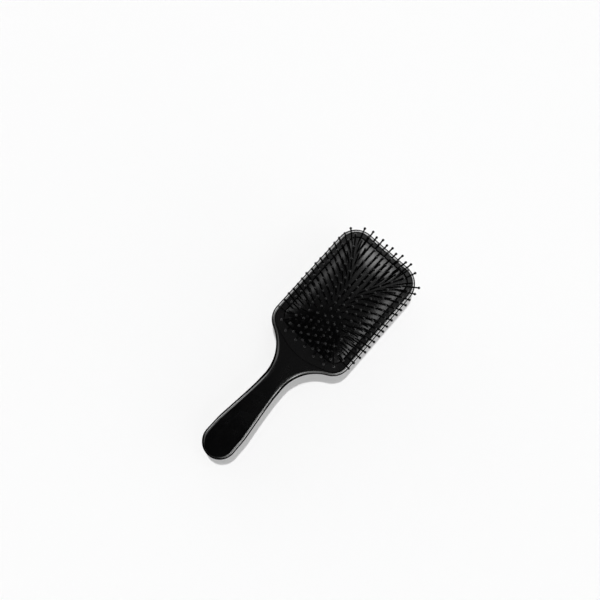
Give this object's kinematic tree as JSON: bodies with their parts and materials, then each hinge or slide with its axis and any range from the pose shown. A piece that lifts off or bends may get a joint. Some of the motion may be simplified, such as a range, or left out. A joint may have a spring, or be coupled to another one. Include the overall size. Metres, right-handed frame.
{
  "type": "paddle brush",
  "caption": "Flat paddle hair brush: a wide round-cornered head with ball-tipped pins on a domed rubber air cushion in a flush frame, on a tapered handle.",
  "frame": {"origin": "on the table below the middle of the brush's box, with the brush lying on its flat back", "axes": "+X across the head, +Y from the handle end to the top of the head, +Z out of the pins"},
  "size_m": [0.086, 0.245, 0.0445],
  "materials": {
    "body": "smooth satin gloss",
    "frame": "satin",
    "cushion": "soft sheen",
    "sheet": "matte",
    "pins": "gloss"
  },
  "bodies": {
    "paddle": {"paddle_body": "body", "cushion_frame": "frame"},
    "pad": {"cushion": "cushion", "backing_sheet": "sheet", "pin_row_01": "pins", "pin_row_02": "pins", "pin_row_03": "pins", "pin_row_04": "pins", "pin_row_05": "pins", "pin_row_06": "pins", "pin_row_07": "pins", "pin_row_08": "pins", "pin_row_09": "pins", "pin_row_10": "pins", "pin_row_11": "pins", "pin_row_12": "pins", "pin_row_13": "pins", "pin_row_14": "pins", "pin_row_15": "pins", "pin_row_16": "pins", "pin_row_17": "pins", "pin_row_18": "pins", "pin_row_19": "pins", "pin_row_20": "pins", "pin_row_21": "pins", "pin_row_22": "pins", "pin_row_23": "pins", "pin_row_24": "pins", "pin_row_25": "pins", "pin_row_26": "pins", "pin_row_27": "pins", "pin_row_28": "pins", "pin_row_29": "pins", "pin_row_30": "pins", "pin_row_31": "pins", "pin_row_32": "pins", "pin_row_33": "pins", "pin_row_34": "pins", "pin_row_35": "pins"}
  },
  "joints": [
    {"name": "pad_press", "type": "slide", "parent": "paddle", "child": "pad", "axis": [0, 0, 1], "range_m": [-0.004, 0], "stiffness_N_per_m": 3000, "deforming": ["cushion"]}
  ]
}
